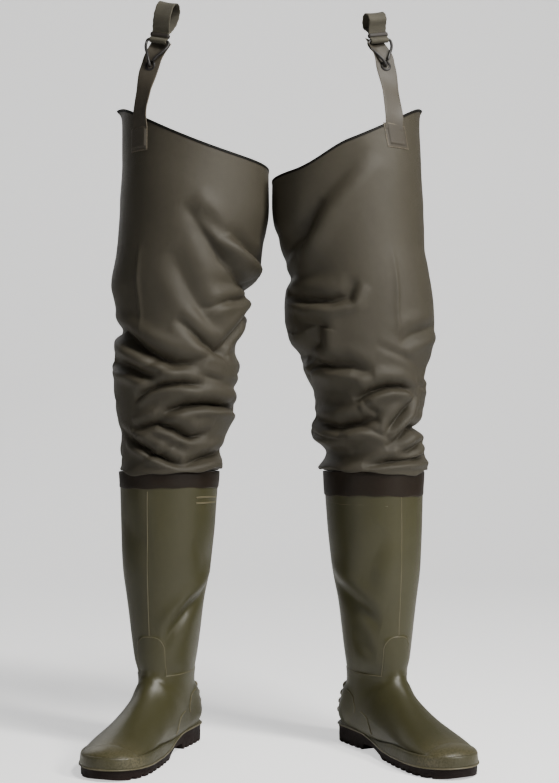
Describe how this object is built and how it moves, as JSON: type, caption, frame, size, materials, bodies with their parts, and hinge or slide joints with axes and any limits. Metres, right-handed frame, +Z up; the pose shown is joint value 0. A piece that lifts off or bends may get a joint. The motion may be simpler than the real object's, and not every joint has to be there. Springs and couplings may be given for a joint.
{
  "type": "thigh waders",
  "caption": "Thigh waders: moulded boots with cleated soles, welded fabric legs with slanted rims, and straps with wire hooks and belt loops.",
  "frame": {"origin": "on the ground at the middle of the pair's bounding box", "axes": "+Z up, toes towards -Y, the wearer's left wader at +X"},
  "size_m": [0.5194, 0.316, 1.0427],
  "materials": {
    "outsole_rubber": "dull dark brown moulded sole",
    "boot_upper": "satin olive moulded upper with a soft sheen",
    "lining": "light knitted lining",
    "insole_felt": "felt insole",
    "weld_band": "dark brown welded band",
    "leg_fabric": "coated woven fabric, dull with a faint sheen",
    "rim_edge": "dark welded edge",
    "seam_tape": "welded seam tape",
    "strap_fabric": "coated strap fabric",
    "black_metal": "black coated wire and eyelet",
    "keeper_band": "dark webbing band",
    "webbing": "woven webbing"
  },
  "bodies": {
    "right_boot": {"right_outsole": "outsole_rubber", "right_boot_shell": "boot_upper", "right_boot_lining": "lining", "right_insole": "insole_felt", "right_boot_top_band": "weld_band", "right_knee_sleeve": "leg_fabric"},
    "right_thigh": {"right_thigh_sleeve": "leg_fabric", "right_rim_hem": "rim_edge", "right_leg_seam_tape": "seam_tape", "right_strap_patch": "strap_fabric"},
    "right_strap": {"right_strap": "strap_fabric", "right_strap_eyelet": "black_metal"},
    "right_hook": {"right_triangle_hook": "black_metal"},
    "right_loop": {"right_belt_loop": "webbing", "right_loop_keeper": "keeper_band"},
    "left_boot": {"left_outsole": "outsole_rubber", "left_boot_shell": "boot_upper", "left_boot_lining": "lining", "left_insole": "insole_felt", "left_boot_top_band": "weld_band", "left_knee_sleeve": "leg_fabric"},
    "left_thigh": {"left_thigh_sleeve": "leg_fabric", "left_rim_hem": "rim_edge", "left_leg_seam_tape": "seam_tape", "left_strap_patch": "strap_fabric"},
    "left_strap": {"left_strap": "strap_fabric", "left_strap_eyelet": "black_metal"},
    "left_hook": {"left_triangle_hook": "black_metal"},
    "left_loop": {"left_belt_loop": "webbing", "left_loop_keeper": "keeper_band"}
  },
  "joints": [
    {"name": "right_knee_bend", "type": "hinge", "parent": "right_boot", "child": "right_thigh", "pos_m": [-0.1457, 0.07149, 0.52], "axis": [-1, 0, 0], "range_deg": [0, 90], "deforming": ["right_knee_sleeve"]},
    {"name": "right_strap_fold", "type": "hinge", "parent": "right_thigh", "child": "right_strap", "pos_m": [-0.19215, -0.01992, 0.86025], "axis": [0.7586, -0.6516, 0], "range_deg": [0, 120]},
    {"name": "right_hook_swing", "type": "hinge", "parent": "right_strap", "child": "right_hook", "pos_m": [-0.17716, -0.00247, 0.95025], "axis": [0.9195, -0.3137, -0.2371], "range_deg": [0, 50]},
    {"name": "right_loop_swing", "type": "hinge", "parent": "right_hook", "child": "right_loop", "pos_m": [-0.16631, 0.00204, 0.98638], "axis": [0.9195, -0.3137, -0.2371], "range_deg": [-90, 90]},
    {"name": "left_knee_bend", "type": "hinge", "parent": "left_boot", "child": "left_thigh", "pos_m": [0.12554, 0.07149, 0.52], "axis": [-1, 0, 0], "range_deg": [0, 90], "deforming": ["left_knee_sleeve"]},
    {"name": "left_strap_fold", "type": "hinge", "parent": "left_thigh", "child": "left_strap", "pos_m": [0.15865, -0.02972, 0.85778], "axis": [0.8497, 0.5273, 0], "range_deg": [0, 120]},
    {"name": "left_hook_swing", "type": "hinge", "parent": "left_strap", "child": "left_hook", "pos_m": [0.14652, -0.01017, 0.94778], "axis": [0.9371, 0.3046, 0.1702], "range_deg": [0, 50]},
    {"name": "left_loop_swing", "type": "hinge", "parent": "left_hook", "child": "left_loop", "pos_m": [0.13813, -0.00485, 0.98445], "axis": [0.9371, 0.3046, 0.1702], "range_deg": [-90, 90]},
    {"name": "waders_apart", "type": "slide", "parent": "right_boot", "child": "left_boot", "axis": [1, 0, 0], "range_m": [0, 0.3]}
  ]
}
